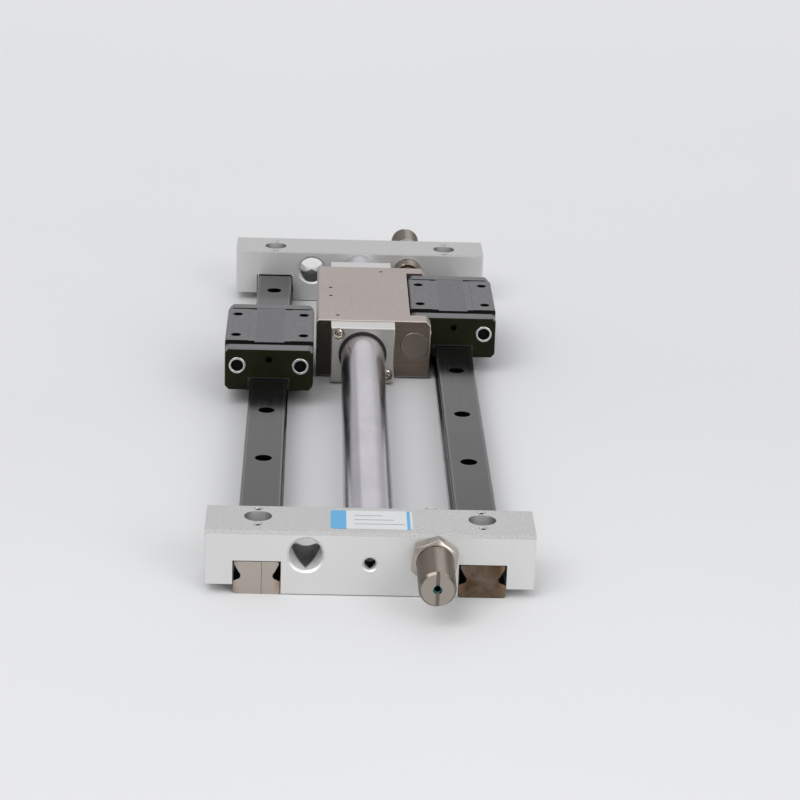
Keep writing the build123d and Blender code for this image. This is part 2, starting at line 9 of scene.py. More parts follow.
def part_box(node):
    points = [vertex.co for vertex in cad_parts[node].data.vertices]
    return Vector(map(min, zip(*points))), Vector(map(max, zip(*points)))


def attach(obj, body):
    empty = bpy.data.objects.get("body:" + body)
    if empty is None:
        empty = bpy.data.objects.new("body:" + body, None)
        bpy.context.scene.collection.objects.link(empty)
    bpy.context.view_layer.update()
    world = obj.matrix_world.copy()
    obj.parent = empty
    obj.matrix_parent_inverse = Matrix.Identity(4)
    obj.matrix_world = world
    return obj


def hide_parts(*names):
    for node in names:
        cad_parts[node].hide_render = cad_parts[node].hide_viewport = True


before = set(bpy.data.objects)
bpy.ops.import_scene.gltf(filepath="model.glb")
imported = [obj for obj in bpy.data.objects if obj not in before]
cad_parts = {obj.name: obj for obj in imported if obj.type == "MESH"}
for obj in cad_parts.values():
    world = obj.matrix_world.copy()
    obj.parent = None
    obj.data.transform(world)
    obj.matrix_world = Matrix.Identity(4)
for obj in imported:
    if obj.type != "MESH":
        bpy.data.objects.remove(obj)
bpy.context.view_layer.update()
mm = 0.001
fullTurn = 2 * math.pi
ends = {"front": -1, "rear": 1}
print("cylinder: frame loaded,", len(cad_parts), "parts")


# Surfaces

def loopSurface(name, points, sharp, slots=()):
    # A shell from an array (rows, around, 3): each row is a closed loop, neighbours are joined by
    # quads, and a row whose points all coincide becomes a pole. slots gives a material per row band.
    rows, around = points.shape[:2]
    i, j = np.meshgrid(np.arange(rows - 1), np.arange(around), indexing="ij")
    k = (j + 1) % around
    quads = np.stack([i * around + j, i * around + k, (i + 1) * around + k, (i + 1) * around + j], -1)
    mesh = bpy.data.meshes.new(name)
    mesh.from_pydata(points.reshape(-1, 3).tolist(), [], quads.reshape(-1, 4).tolist())
    if len(slots):
        mesh.polygons.foreach_set("material_index", np.repeat(np.asarray(slots, np.int32), around))
    closeMesh(mesh)
    softShade(mesh, sharp)
    piece = bpy.data.objects.new(name, mesh)
    bpy.context.scene.collection.objects.link(piece)
    return piece


def closeMesh(mesh):
    # Merges doubles, drops faces with no area and turns the rest outwards
    if "custom_normal" in mesh.attributes:
        mesh.attributes.remove(mesh.attributes["custom_normal"])
    work = bmesh.new()
    work.from_mesh(mesh)
    bmesh.ops.remove_doubles(work, verts=work.verts, dist=2e-7)
    bmesh.ops.dissolve_degenerate(work, edges=work.edges, dist=1e-7)
    bmesh.ops.recalc_face_normals(work, faces=work.faces)
    work.to_mesh(mesh)
    work.free()


def softShade(mesh, sharp):
    mesh.shade_smooth()
    mesh.set_sharp_from_angle(angle=math.radians(sharp))


def turnedPoints(radii, along, centre, around, start=0.0):
    # Rows of a turned shape about an axis along Y: x = cx + r cos t, z = cz + r sin t.
    # radii is one value per row, or an array (rows, around)
    t = start + np.arange(around) * fullTurn / around
    radii = np.asarray(radii, float)
    r = radii if radii.ndim == 2 else np.repeat(radii[:, None], around, 1)
    y = np.repeat(np.asarray(along, float)[:, None], around, 1) if np.ndim(along) == 1 else along
    return np.stack([centre[0] + r * np.cos(t), y, centre[1] + r * np.sin(t)], -1)


def hexRadius(flats, around, start=0.0):
    # Distance from the axis to a hexagon's side in the direction t: half the flats over cos of the
    # angle to the nearest side's middle
    t = start + np.arange(around) * fullTurn / around
    return flats / 2 / np.cos((t + math.pi / 6) % (math.pi / 3) - math.pi / 6)


def cutAway(piece, tool, sharp):
    # Takes the tool's volume out of the piece and deletes the tool
    cut = piece.modifiers.new("cut", "BOOLEAN")
    cut.operation, cut.solver, cut.object = "DIFFERENCE", "EXACT", tool
    graph = bpy.context.evaluated_depsgraph_get()
    graph.update()
    made = bpy.data.meshes.new_from_object(piece.evaluated_get(graph))
    piece.modifiers.clear()
    piece.data = made
    softShade(made, sharp)
    bpy.data.objects.remove(tool)


def boxTool(low, high):
    # A plain box between two corners, used only to cut with
    x, y, z = ((low[axis], high[axis]) for axis in range(3))
    corners = [(a, b, c) for a in x for b in y for c in z]
    faces = [(0, 1, 3, 2), (4, 6, 7, 5), (0, 4, 5, 1), (2, 3, 7, 6), (0, 2, 6, 4), (1, 5, 7, 3)]
    mesh = bpy.data.meshes.new("boxTool")
    mesh.from_pydata(corners, [], faces)
    tool = bpy.data.objects.new("boxTool", mesh)
    bpy.context.scene.collection.objects.link(tool)
    return tool


def joined(name, pieces):
    # One mesh from several, their vertices as they are
    bpy.ops.object.select_all(action="DESELECT")
    for piece in pieces:
        piece.select_set(True)
    bpy.context.view_layer.objects.active = pieces[0]
    bpy.ops.object.join()
    pieces[0].name = name
    return pieces[0]


def addPiece(piece, materials, body, slotName, *replaced):
    for material in materials:
        piece.data.materials.append(material)
    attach(piece, body)
    if replaced:
        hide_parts(*replaced)


# Shader building blocks

def addNode(tree, kind, inputs=(), **settings):
    node = tree.nodes.new(kind)
    for key, value in settings.items():
        setattr(node, key, value)
    for key, value in dict(inputs).items():
        feed(tree, node.inputs[key], value)
    return node


def feed(tree, socket, value):
    if isinstance(value, bpy.types.NodeSocket):
        tree.links.new(value, socket)
    else:
        socket.default_value = value


def pointOn(tree, stretch=(1, 1, 1), move=(0, 0, 0)):
    coord = addNode(tree, "ShaderNodeTexCoord").outputs["Object"]
    inputs = {"Vector": coord, "Location": move, "Scale": stretch}
    return addNode(tree, "ShaderNodeMapping", inputs).outputs[0]


def noise(tree, point, scale, detail=3.0, rough=0.55):
    inputs = {"Vector": point, "Scale": scale, "Detail": detail, "Roughness": rough}
    return addNode(tree, "ShaderNodeTexNoise", inputs).outputs[0]


def spread(tree, value, low, high, newLow=0.0, newHigh=1.0):
    inputs = {"Value": value, "From Min": low, "From Max": high, "To Min": newLow, "To Max": newHigh}
    return addNode(tree, "ShaderNodeMapRange", inputs).outputs[0]


def calc(tree, operation, a, b=0.0):
    return addNode(tree, "ShaderNodeMath", {0: a, 1: b}, operation=operation).outputs[0]


def times(tree, a, b):
    return calc(tree, "MULTIPLY", a, b)


def absolute(tree, value):
    return calc(tree, "ABSOLUTE", value)


def distanceTo(tree, value, place):
    return absolute(tree, calc(tree, "SUBTRACT", value, place))


def opaque(colour):
    return colour if isinstance(colour, bpy.types.NodeSocket) else (*colour, 1.0)


def blendColour(tree, factor, a, b):
    node = addNode(tree, "ShaderNodeMix", data_type="RGBA")
    feed(tree, node.inputs[0], factor)
    feed(tree, node.inputs[6], opaque(a))
    feed(tree, node.inputs[7], opaque(b))
    return node.outputs[2]


def splitPoint(tree, point):
    return addNode(tree, "ShaderNodeSeparateXYZ", {0: point}).outputs


def faceNormal(tree):
    return splitPoint(tree, addNode(tree, "ShaderNodeNewGeometry").outputs["Normal"])


def endFacing(tree, low=0.8, high=0.95):
    # 1 on the faces that look along the cylinder
    return spread(tree, absolute(tree, faceNormal(tree)[1]), low, high)


def band(tree, value, low, high, soft):
    # 1 between low and high, falling to 0 over the soft distance on each side
    up = spread(tree, value, low - soft, low)
    down = spread(tree, value, high, high + soft, 1, 0)
    return times(tree, up, down)


def nearPoint(tree, across, along, radius, soft):
    # 1 within the radius of the place where both distances are 0
    apart = calc(tree, "SQRT", calc(tree, "ADD", times(tree, across, across), times(tree, along, along)))
    return spread(tree, apart, radius * mm, (radius + soft) * mm, 1, 0)


def shaded(colour, share):
    return tuple(min(1.0, share * c) for c in colour)


def finishOf(name, look, paint=None):
    # A metal or plastic: colour that drifts a little, roughness with a grain, and a fine bump over
    # slightly rounded edges. paint adds the piece's own marks, and painted light and shade, to the colour and
    # the roughness.
    material = bpy.data.materials.new(name)
    material.use_nodes = True
    tree = material.node_tree
    shader = tree.nodes["Principled BSDF"]
    shader.inputs["Metallic"].default_value = look["metallic"]
    shader.inputs["Specular IOR Level"].default_value = look.get("gloss", 0.5)
    grain = noise(tree, pointOn(tree, look["stretch"]), look["grain"], 4.0, 0.6)
    drift = noise(tree, pointOn(tree), look["drift"], 2.0)
    dark = shaded(look["colour"], 1 - look["shade"])
    pale = shaded(look["colour"], 1 + look["shade"])
    colour = blendColour(tree, spread(tree, drift, 0.3, 0.7), dark, pale)
    colour = blendColour(tree, spread(tree, grain, 0.3, 0.7, 0, look["grainShade"]), colour, dark)
    rough = spread(tree, grain, 0.25, 0.75, look["rough"][0], look["rough"][1])
    if paint:
        colour, rough = paint(tree, colour, rough)
    tree.links.new(colour, shader.inputs["Base Color"])
    tree.links.new(rough, shader.inputs["Roughness"])
    bumpInputs = {"Height": grain, "Strength": look["bump"], "Distance": look["relief"] * mm}
    if look.get("edge"):
        bevel = addNode(tree, "ShaderNodeBevel", {"Radius": look["edge"] * mm}, samples=4)
        bumpInputs["Normal"] = bevel.outputs[0]
    bump = addNode(tree, "ShaderNodeBump", bumpInputs)
    tree.links.new(bump.outputs[0], shader.inputs["Normal"])
    return material


def dress(material, *nodes):
    for node in nodes:
        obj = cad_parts[node]
        obj.data.materials.clear()
        obj.data.materials.append(material)


# End plates

plateLook = {
    "colour": (0.70, 0.70, 0.69), "metallic": 0.55, "rough": (0.36, 0.48), "grain": 1500,
    "stretch": (0.3, 1, 1), "drift": 18, "shade": 0.03, "grainShade": 0.3, "bump": 0.10, "relief": 0.02,
    "edge": 0.2, "top": (0.475, 0.475, 0.47), "topGrain": 1700, "stripDark": (0.42, 0.42, 0.415),
    "stripPale": (0.53, 0.53, 0.525), "stripGrain": 2600, "bore": (0.66, 0.66, 0.65), "boreRadius": 4.6,
    "boreSideShade": (0.20, 0.20, 0.198), "stripDepth": 3.0, "mouthHighlight": (0.95, 0.95, 0.94),
    "boreX": 36.25, "boreY": 156.0,
}


def paintPlate(tree, colour, rough):
    # The top is painted darker and finely speckled, the sawn chamfer coarsely. The mouths of the tapped
    # holes carry a painted highlight; the bores' walls are pale, with painted shade on their sides.
    x, y, z = splitPoint(tree, pointOn(tree))
    normal = faceNormal(tree)
    up = spread(tree, normal[2], 0.9, 0.98)
    speck = spread(tree, noise(tree, pointOn(tree), plateLook["topGrain"], 2.0), 0.35, 0.62, 0.35, 1)
    colour = blendColour(tree, times(tree, up, speck), colour, plateLook["top"])
    slant = times(tree, absolute(tree, normal[1]), calc(tree, "MAXIMUM", normal[2], 0.0))
    nearTop = calc(tree, "GREATER_THAN", z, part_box("front_plate")[1].z - plateLook["stripDepth"] * mm)
    strip = times(tree, spread(tree, slant, 0.25, 0.4), nearTop)
    # Painted highlight: the slanted faces of the hole mouths below the top strip are painted nearly white
    mouthHighlight = times(tree, spread(tree, slant, 0.15, 0.3), calc(tree, "SUBTRACT", 1.0, nearTop))
    colour = blendColour(tree, mouthHighlight, colour, plateLook["mouthHighlight"])
    sawn = spread(tree, noise(tree, pointOn(tree, (0.6, 1, 1)), plateLook["stripGrain"], 3.0), 0.40, 0.62)
    sawnTone = blendColour(tree, sawn, plateLook["stripDark"], plateLook["stripPale"])
    colour = blendColour(tree, strip, colour, sawnTone)
    acrossBore = distanceTo(tree, absolute(tree, x), plateLook["boreX"] * mm)
    alongBore = distanceTo(tree, absolute(tree, y), plateLook["boreY"] * mm)
    inBore = nearPoint(tree, acrossBore, alongBore, plateLook["boreRadius"], 0.1)
    inBore = times(tree, inBore, spread(tree, normal[2], 0.5, 0.9, 1, 0))
    # Painted shade: the bore walls that face sideways are painted dark
    boreSideShade = spread(tree, absolute(tree, normal[0]), 0.45, 0.95)
    bore = blendColour(tree, boreSideShade, plateLook["bore"], plateLook["boreSideShade"])
    colour = blendColour(tree, inBore, colour, bore)
    rough = calc(tree, "MAXIMUM", rough, times(tree, strip, 0.6))
    return colour, rough


dress(finishOf("satinPlate", plateLook, paintPlate), "front_plate", "rear_plate")


# Tube and rails

tubeLook = {
    "colour": (0.60, 0.575, 0.62), "metallic": 1.0, "rough": (0.17, 0.25), "grain": 500,
    "stretch": (1, 0.15, 1), "drift": 70, "shade": 0.05, "grainShade": 0.25, "bump": 0.06, "relief": 0.01,
}
railLook = {
    "colour": (0.068, 0.067, 0.070), "metallic": 0.9, "rough": (0.12, 0.20), "grain": 900,
    "stretch": (1, 0.05, 1), "drift": 30, "shade": 0.06, "grainShade": 0.4, "bump": 0.08, "relief": 0.01,
    "edge": 0.1, "lineAt": 6.2, "lineWidth": 0.25, "line": (0.26, 0.26, 0.28), "lineShare": 0.4,
    "side": (0.02, 0.02, 0.021), "sideDepth": 0.3, "stainGrain": 130, "stainSoft": 0.25,
    "scribeShade": 0.35, "rimStain": (0.34, 0.20, 0.11), "rimFrom": 5.4, "rimTo": 7.6,
}
railEnds = {
    "left": {"bare": (0.47, 0.42, 0.375), "stain": (0.33, 0.22, 0.14), "from": 0.60, "scribe": 1.5},
    "right": {"bare": (0.19, 0.15, 0.115), "stain": (0.11, 0.07, 0.04), "from": 0.38, "scribe": 0.0},
}
railLow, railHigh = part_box("right_rail")
railX = (railLow.x + railHigh.x) / 2


def paintRail(hand):
    ending = railEnds[hand]
    centre = railX if hand == "right" else -railX

    def paint(tree, colour, rough):
        # Two ground lines near the edges of the top, near black sides, painted shade in the holes, and bare
        # sawn ends
        x, y, z = splitPoint(tree, pointOn(tree))
        normal = faceNormal(tree)
        # Painted shade: everything under the top, the holes' walls and floors too, takes the near-black side
        # tone
        sidesAndHoleShade = calc(tree, "LESS_THAN", z, railHigh.z - railLook["sideDepth"] * mm)
        side = calc(tree, "MAXIMUM", sidesAndHoleShade, spread(tree, normal[2], 0.2, 0.6, 1, 0))
        colour = blendColour(tree, side, colour, railLook["side"])
        across = distanceTo(tree, x, centre)
        start, width = railLook["lineAt"] * mm, railLook["lineWidth"] * mm
        line = band(tree, across, start, start + width, 0.12 * mm)
        line = times(tree, line, calc(tree, "GREATER_THAN", z, railHigh.z - 0.1 * mm))
        colour = blendColour(tree, times(tree, line, railLook["lineShare"]), colour, railLook["line"])
        stain = noise(tree, pointOn(tree), railLook["stainGrain"], 4.0, 0.65)
        bare = blendColour(tree, spread(tree, stain, ending["from"], ending["from"] + railLook["stainSoft"]),
                           ending["bare"], ending["stain"])
        nearRim = spread(tree, across, railLook["rimFrom"] * mm, railLook["rimTo"] * mm)
        rimStain = times(tree, nearRim, spread(tree, stain, 0.42, 0.60))
        bare = blendColour(tree, rimStain, bare, railLook["rimStain"])
        if ending["scribe"]:
            place = centre + ending["scribe"] * mm
            bare = blendColour(tree, band(tree, x, place, place + 0.1 * mm, 0.1 * mm), bare,
                               shaded(ending["bare"], railLook["scribeShade"]))
        atEnd = calc(tree, "GREATER_THAN", absolute(tree, y), railHigh.y - railLook["sideDepth"] * mm)
        facing = times(tree, endFacing(tree), atEnd)
        colour = blendColour(tree, facing, colour, bare)
        rough = calc(tree, "MAXIMUM", rough, times(tree, facing, 0.5))
        return colour, rough
    return paint


dress(finishOf("polishedTube", tubeLook), "cylinder_tube")
for hand in railEnds:
    dress(finishOf(hand + "RailSteel", railLook, paintRail(hand)), hand + "_rail")


# Carriage

carriageLook = {
    "colour": (0.475, 0.41, 0.39), "metallic": 0.9, "rough": (0.36, 0.48), "grain": 1000,
    "stretch": (1, 0.10, 1), "drift": 35, "shade": 0.03, "grainShade": 0.3, "bump": 0.08, "relief": 0.015,
    "edge": 0.2, "endLeft": (0.065, 0.054, 0.044), "endRight": (0.19, 0.15, 0.12),
    "fromX": -17.0, "toX": 14.0, "millGrain": 900, "millDark": (0.03, 0.025, 0.02),
    "rim": (0.62, 0.56, 0.51),
}
coverLook = {
    "colour": (0.67, 0.66, 0.64), "metallic": 0.9, "rough": (0.30, 0.34), "grain": 900,
    "stretch": (1, 1, 0.3), "drift": 40, "shade": 0.03, "grainShade": 0.05, "bump": 0.01, "relief": 0.01,
    "edge": 0.2, "front": (0.50, 0.49, 0.455),
}
strikerLook = {
    "colour": (0.22, 0.185, 0.155), "metallic": 1.0, "rough": (0.26, 0.38), "grain": 800,
    "stretch": (1, 1, 1), "drift": 90, "shade": 0.06, "grainShade": 0.3, "bump": 0.08, "relief": 0.01,
    "rim": (0.46, 0.42, 0.37),
}


def rimHighlight(tree):
    # 1 on the chamfers round the end faces, which take a painted highlight
    return band(tree, absolute(tree, faceNormal(tree)[1]), 0.5, 0.85, 0.05)


def paintCarriage(tree, colour, rough):
    # The milled end faces are burnt brown, darkest at the left, inside a chamfer with a painted highlight
    x, y, z = splitPoint(tree, pointOn(tree))
    fromLeft = spread(tree, x, carriageLook["fromX"] * mm, carriageLook["toX"] * mm)
    burnt = blendColour(tree, fromLeft, carriageLook["endLeft"], carriageLook["endRight"])
    mill = noise(tree, pointOn(tree, (0.08, 1, 1)), carriageLook["millGrain"], 3.0)
    milled = blendColour(tree, spread(tree, mill, 0.35, 0.75, 0, 0.3), burnt, carriageLook["millDark"])
    # Painted highlight: the end chamfers take the pale rim tone
    colour = blendColour(tree, rimHighlight(tree), colour, carriageLook["rim"])
    return blendColour(tree, endFacing(tree), colour, milled), rough


def paintCover(tree, colour, rough):
    # Painted shade: the end faces take a darker tone than the rest of the cover
    return blendColour(tree, endFacing(tree), colour, coverLook["front"]), rough


def paintStriker(tree, colour, rough):
    # Painted highlight: the chamfers round the pins' end faces take the pale rim tone
    return blendColour(tree, rimHighlight(tree), colour, strikerLook["rim"]), rough


dress(finishOf("champagneNickel", carriageLook, paintCarriage), "carriage_body")
dress(finishOf("brightCover", coverLook, paintCover), "front_cover", "rear_cover")
dress(finishOf("strikerSteel", strikerLook, paintStriker), "striker_pins")


# Guide blocks

blockLook = {
    "colour": (0.178, 0.174, 0.184), "metallic": 0.8, "rough": (0.36, 0.48), "grain": 1100,
    "stretch": (1, 0.25, 1), "drift": 60, "shade": 0.03, "grainShade": 0.3, "bump": 0.08, "relief": 0.012,
    "bandHalf": 5.4, "band": (0.155, 0.152, 0.161), "side": (0.02, 0.02, 0.021), "holeX": 13.0, "holeY": 13.0,
    "holeRadius": 1.95, "hole": (0.006, 0.006, 0.006),
}
blockCut = {
    "tongueHalf": 5.7, "tongueDepth": 1.7, "bodyLength": 39.5, "clear": 1.0, "reach": 9.5, "sharp": 25,
}
capLook = {
    "colour": (0.0100, 0.0118, 0.0036), "metallic": 0.0, "rough": (0.34, 0.46), "grain": 1500,
    "stretch": (1, 1, 1), "drift": 140, "shade": 0.18, "grainShade": 0.4, "bump": 0.12, "relief": 0.02,
    "gloss": 0.12, "edge": 0.2, "top": (0.16, 0.16, 0.165), "hole": (0.004, 0.004, 0.004),
    "holeX": 36.25, "holeZ": 19.0, "holeRadius": 1.25,
}


def paintBlock(centreX, centreY):
    def paint(tree, colour, rough):
        # A band down the middle of the top is a shade darker and the sides are near black; the table holes
        # and a thin rim round them are painted black as shade
        x, y, z = splitPoint(tree, pointOn(tree))
        half = blockLook["bandHalf"] * mm
        middle = spread(tree, distanceTo(tree, x, centreX), half, half + 0.15 * mm, 1, 0)
        colour = blendColour(tree, middle, colour, blockLook["band"])
        side = spread(tree, faceNormal(tree)[2], 0.35, 0.6, 1, 0)
        colour = blendColour(tree, side, colour, blockLook["side"])
        # Painted shade: black discs over the table holes, a little wider than the holes
        across = distanceTo(tree, distanceTo(tree, x, centreX), blockLook["holeX"] * mm)
        along = distanceTo(tree, distanceTo(tree, y, centreY), blockLook["holeY"] * mm)
        hole = nearPoint(tree, across, along, blockLook["holeRadius"], 0.1)
        return blendColour(tree, hole, colour, blockLook["hole"]), rough
    return paint


def blockBody(hand, material):
    # The CAD body with its tongue cut down to the width that shows: a box goes off each corner
    node = hand + "_block_body"
    low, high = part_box(node)
    middle = (low + high) / 2
    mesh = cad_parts[node].data.copy()
    mesh.materials.clear()
    closeMesh(mesh)
    piece = bpy.data.objects.new(hand + "BlockBody", mesh)
    bpy.context.scene.collection.objects.link(piece)
    c = blockCut
    for acrossSide in (-1, 1):
        for side in ends.values():
            x = sorted(middle.x + acrossSide * c[place] * mm for place in ("tongueHalf", "reach"))
            bodyEnd = middle.y + side * c["bodyLength"] / 2 * mm
            y = sorted((bodyEnd, bodyEnd + side * 2 * c["clear"] * mm))
            bottom = high.z - (c["tongueDepth"] + c["clear"]) * mm
            cutAway(piece, boxTool((x[0], y[0], bottom), (x[1], y[1], high.z + c["clear"] * mm)), c["sharp"])
    addPiece(piece, [material], hand + "_block", "block_steel", node)


def paintCap(tree, colour, rough):
    # The upward faces are pale grey, the rest is dark olive, and the nipple's shallow hole is painted black
    # as shade
    x, y, z = splitPoint(tree, pointOn(tree))
    colour = blendColour(tree, spread(tree, faceNormal(tree)[2], 0.4, 0.7), colour, capLook["top"])
    # Painted shade: a black disc over the nipple's shallow hole
    across = distanceTo(tree, absolute(tree, x), capLook["holeX"] * mm)
    hole = nearPoint(tree, across, distanceTo(tree, z, capLook["holeZ"] * mm), capLook["holeRadius"], 0.1)
    return blendColour(tree, hole, colour, capLook["hole"]), rough


capPlastic = finishOf("olivePlastic", capLook, paintCap)
for hand in railEnds:
    low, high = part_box(hand + "_block_body")
    middle = (low + high) / 2
    blockSteel = finishOf(hand + "BlockSteel", blockLook, paintBlock(middle.x, middle.y))
    blockBody(hand, blockSteel)
    dress(capPlastic, hand + "_block_front_cap", hand + "_block_rear_cap")


# Small parts and the inner ones

nickelLook = {
    "colour": (0.43, 0.385, 0.345), "metallic": 1.0, "rough": (0.20, 0.30), "grain": 900,
    "stretch": (1, 1, 1), "drift": 120, "shade": 0.08, "grainShade": 0.35, "bump": 0.10, "relief": 0.01,
}
rubberLook = {
    "colour": (0.012, 0.012, 0.012), "metallic": 0.0, "rough": (0.55, 0.7), "grain": 1800,
    "stretch": (1, 1, 1), "drift": 150, "shade": 0.2, "grainShade": 0.4, "bump": 0.2, "relief": 0.02,
}
screwLook = {
    "colour": (0.66, 0.66, 0.65), "metallic": 1.0, "rough": (0.18, 0.30), "grain": 1600, "stretch": (1, 1, 1),
    "drift": 200, "shade": 0.06, "grainShade": 0.3, "bump": 0.08, "relief": 0.008,
}
nickelMetal = finishOf("warmNickel", nickelLook)
sealRubber = finishOf("sealRubber", rubberLook)
screwMetal = finishOf("brightScrew", screwLook)
# Painted shade: the sockets of the screws and the oil plugs take this black
socketShadeLook = dict(screwLook, colour=(0.004, 0.004, 0.004), metallic=0.0, rough=(0.5, 0.65), gloss=0.08)
socketShade = finishOf("socketShade", socketShadeLook)
tealPlastic = finishOf("tealPlug", dict(rubberLook, colour=(0.02, 0.20, 0.19), rough=(0.35, 0.5)))
rodMetal = finishOf("groundRod", dict(screwLook, colour=(0.60, 0.60, 0.60), rough=(0.12, 0.22)))
setScrewLook = dict(screwLook, colour=(0.78, 0.77, 0.75), rough=(0.2, 0.32), spacing=13.4, socket=0.85)


def paintSetScrew(tree, colour, rough):
    # The sockets are painted black as shade: a disc at each screw's place beside the four plate bores
    x, y, z = splitPoint(tree, pointOn(tree))
    across = distanceTo(tree, absolute(tree, x), plateLook["boreX"] * mm)
    fromBore = distanceTo(tree, absolute(tree, y), plateLook["boreY"] * mm)
    along = distanceTo(tree, fromBore, setScrewLook["spacing"] / 2 * mm)
    socket = nearPoint(tree, across, along, setScrewLook["socket"], 0.1)
    return blendColour(tree, socket, colour, socketShadeLook["colour"]), rough


setScrewMetal = finishOf("setScrew", setScrewLook, paintSetScrew)
bronzeMetal = finishOf("bushBronze", dict(nickelLook, colour=(0.45, 0.29, 0.12), rough=(0.4, 0.55)))
bearingPlastic = finishOf("wearRingPlastic", dict(rubberLook, colour=(0.13, 0.085, 0.045)))
yokeMetal = finishOf("yokeSteel", dict(nickelLook, colour=(0.36, 0.36, 0.37), rough=(0.3, 0.42)))
magnetMetal = finishOf("magnetNickel", dict(screwLook, colour=(0.55, 0.54, 0.52), rough=(0.2, 0.3)))
pistonMetal = finishOf("pistonAluminium", dict(coverLook, colour=(0.64, 0.64, 0.65)))

dress(sealRubber, "tube_seals", "tube_scrapers", "piston_seals", "left_rail_seals", "right_rail_seals")
dress(setScrewMetal, "clamp_screws")
dress(screwMetal, "piston_nuts")
dress(rodMetal, "front_absorber_rod", "rear_absorber_rod", "piston_shaft", "left_block_balls",
      "right_block_balls")
dress(bronzeMetal, "absorber_bushes")
dress(bearingPlastic, "wear_rings")
dress(yokeMetal, "outer_yokes", "inner_yokes")
dress(magnetMetal, "outer_magnets", "inner_magnets")
dress(pistonMetal, "front_piston_head", "rear_piston_head")
print("cylinder: finishes made")


# Shock absorbers

absorber = {
    "pitch": 1.0, "threadDepth": 0.26, "rowsPerPitch": 8, "around": 72, "chamfer": 0.8, "cavityRadius": 4.2,
    "endThickness": 10.0, "holeRadius": 1.42, "holeDepth": 4.0, "slotWidth": 1.2, "slotDepth": 1.0,
    "sharp": 40,
    "crestShare": 1.25, "crestFlat": 0.1,
}
threadLook = dict(nickelLook, colour=(0.215, 0.182, 0.155), rough=(0.14, 0.20), drift=60, shade=0.04,
                  grainShade=0.1, bump=0.03, face=(0.37, 0.335, 0.295), slot=(0.20, 0.175, 0.15),
                  sunkFrom=0.3, streakHighlightTone=(0.42, 0.37, 0.325))


def paintThread(tree, colour, rough):
    # The turned end faces are paler than the thread, the slot's floor is darker, and a painted highlight
    # streaks the crests along the top
    x, y, z = splitPoint(tree, pointOn(tree))
    # Painted highlight: a bright streak where the faces lean a little towards +x
    streakHighlight = band(tree, faceNormal(tree)[0], 0.08, 0.32, 0.22)
    colour = blendColour(tree, streakHighlight, colour, threadLook["streakHighlightTone"])
    facing = endFacing(tree, 0.9, 0.97)
    outermost = max(abs(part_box("front_absorber_barrel")[0].y), abs(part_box("rear_absorber_barrel")[1].y))
    sunk = calc(tree, "LESS_THAN", absolute(tree, y), outermost - threadLook["sunkFrom"] * mm)
    face = blendColour(tree, sunk, threadLook["face"], threadLook["slot"])
    return blendColour(tree, facing, colour, face), calc(tree, "MAXIMUM", rough, times(tree, facing, 0.3))


threadMetal = finishOf("threadNickel", threadLook, paintThread)


def threadedBarrel(end, side):
    # Radius over angle t and place y: crest minus a groove whose depth is the triangle wave of
    # y / pitch - t / turn, with flattened crests, and never more than a cone from each end
    a = absorber
    low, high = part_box(end + "_absorber_barrel")
    centre = ((low.x + high.x) / 2, (low.z + high.z) / 2)
    crest = (high.x - low.x) / 2
    inner, outer = (high.y, low.y) if side < 0 else (low.y, high.y)
    length = abs(outer - inner)
    s = np.linspace(0, length, int(length / (a["pitch"] * mm) * a["rowsPerPitch"]))
    t = np.arange(a["around"]) * fullTurn / a["around"]
    phase = (s[:, None] / (a["pitch"] * mm) - t[None, :] / fullTurn) % 1
    wave = np.clip(np.abs(2 * phase - 1) * a["crestShare"] - a["crestFlat"], 0, 1)
    radius = crest - a["threadDepth"] * mm * (1 - wave)
    cone = crest - a["chamfer"] * mm + np.minimum(s, length - s)[:, None]
    wall = np.minimum(radius, cone)
    cavity, cavityEnd = a["cavityRadius"] * mm, outer - side * a["endThickness"] * mm
    hole, holeEnd = a["holeRadius"] * mm, outer - side * a["holeDepth"] * mm
    before = np.array([(0, cavityEnd), (cavity, cavityEnd), (cavity, inner)])
    after = np.array([(hole, outer), (hole, holeEnd), (0, holeEnd)])
    beforeRows, afterRows = (np.repeat(part[:, :1], a["around"], 1) for part in (before, after))
    radii = np.vstack([beforeRows, wall, afterRows])
    along = np.concatenate([before[:, 1], inner + side * s, after[:, 1]])
    piece = loopSurface(end + "ThreadedBarrel", turnedPoints(radii, along, centre, a["around"]), a["sharp"])
    half = a["slotWidth"] / 2 * mm
    deep, clear = sorted((outer - side * a["slotDepth"] * mm, outer + side * mm))
    slotLow = (centre[0] - half, deep, centre[1] - 2 * crest)
    slotHigh = (centre[0] + half, clear, centre[1] + 2 * crest)
    cutAway(piece, boxTool(slotLow, slotHigh), a["sharp"])
    addPiece(piece, [threadMetal], "frame", "absorbers", end + "_absorber_barrel")


nut = {"around": 240, "coneRows": 22, "coneLength": 0.88, "flats": 14.0, "bore": 6.02, "turn": 52.0,
       "coneStart": 6.55, "coneSlope": 1.9, "sharp": 40}


